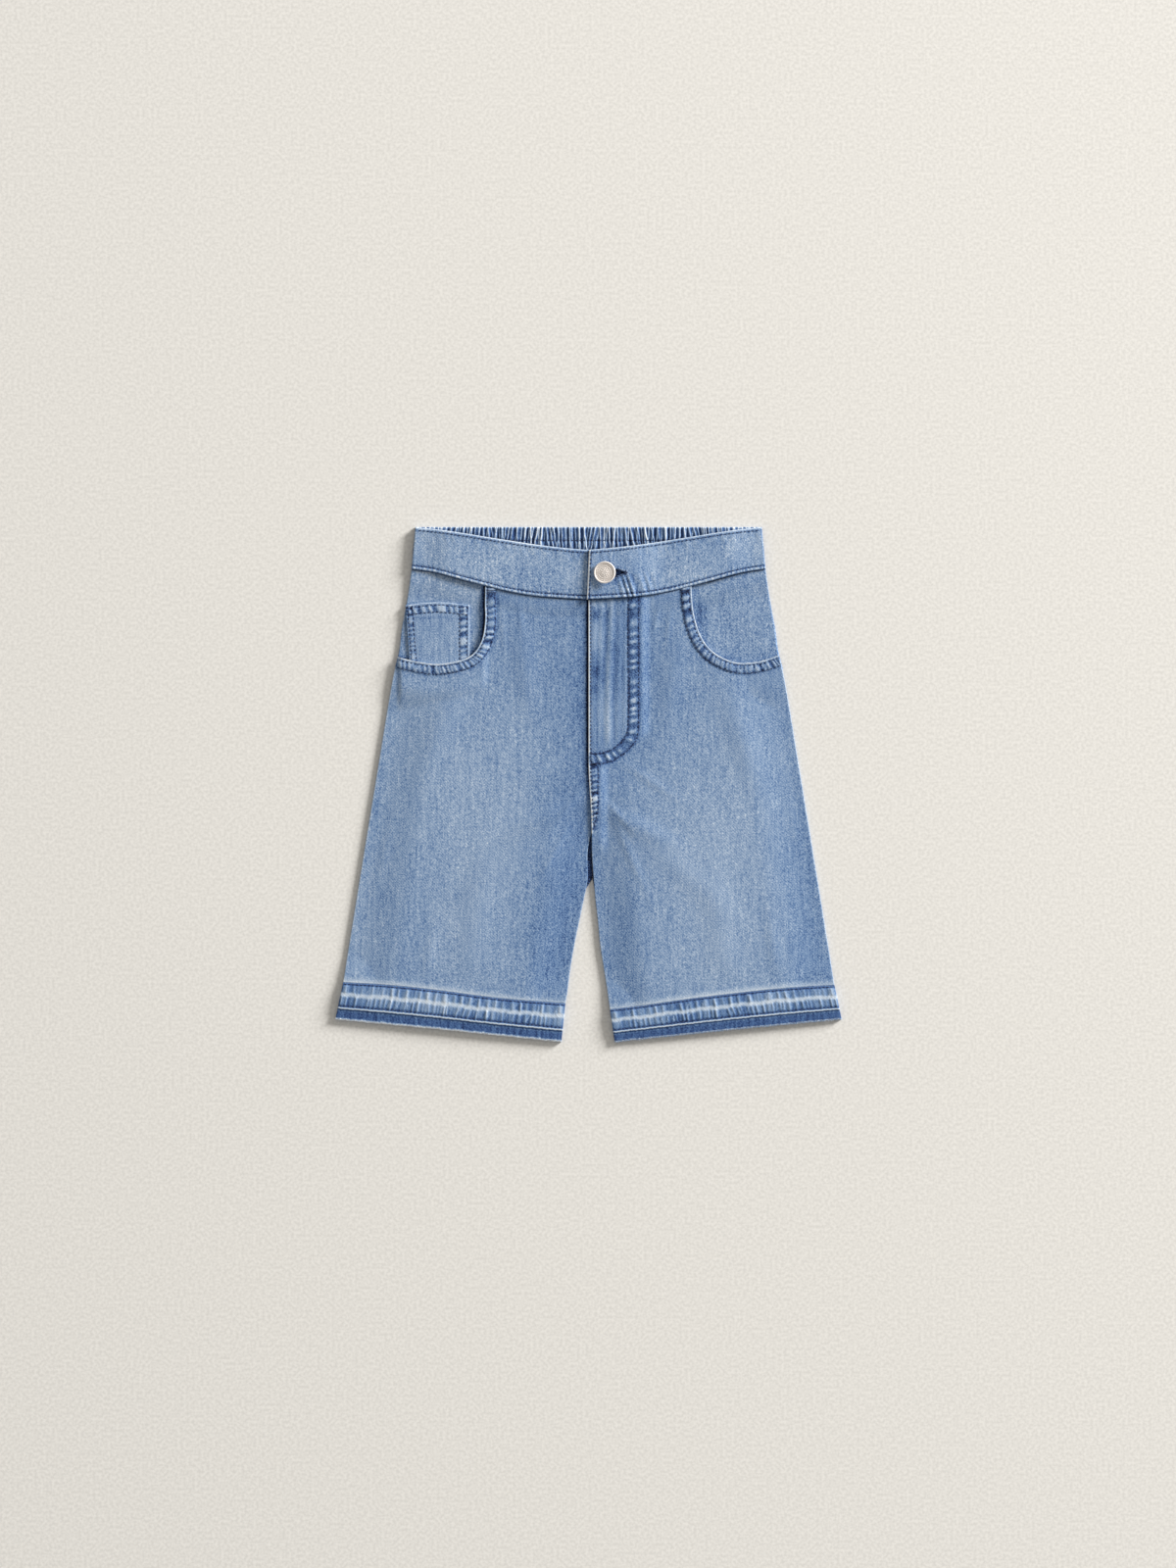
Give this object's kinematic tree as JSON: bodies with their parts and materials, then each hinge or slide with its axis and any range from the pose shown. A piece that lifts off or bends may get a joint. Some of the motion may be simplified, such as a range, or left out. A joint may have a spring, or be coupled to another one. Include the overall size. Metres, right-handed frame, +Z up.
{
  "type": "denim shorts",
  "caption": "Knee-length denim shorts laid flat, with a gathered elastic back waist, buttoned fly front, scoop pockets, a coin pocket and raw-edged let-down hems.",
  "frame": {"origin": "centre of the garment's outline, on the surface it lies on", "axes": "+X towards the wearer's left, +Y from the hems to the waist, +Z up from the surface"},
  "size_m": [0.4132, 0.4198, 0.0141],
  "materials": {
    "denim": "light blue washed denim, fine sandy grain, matt",
    "denim_worn": "paler washed denim of the bands and pockets, matt",
    "denim_hem": "darker let-down hem denim with a worn fold line, matt",
    "button_metal": "pale rose-silver metal, satin"
  },
  "bodies": {
    "root": {"back_waistband": "denim", "back_panel_right": "denim", "back_panel_left": "denim", "hem_back_right": "denim_hem", "hem_back_left": "denim_hem", "pocket_facing_right": "denim_worn", "pocket_facing_left": "denim_worn", "front_panel_right": "denim", "front_panel_left": "denim", "hem_front_right": "denim_hem", "hem_front_left": "denim_hem", "coin_pocket": "denim_worn", "front_waistband_right": "denim_worn", "front_waistband_left": "denim_worn", "fly_button": "button_metal"}
  },
  "joints": []
}
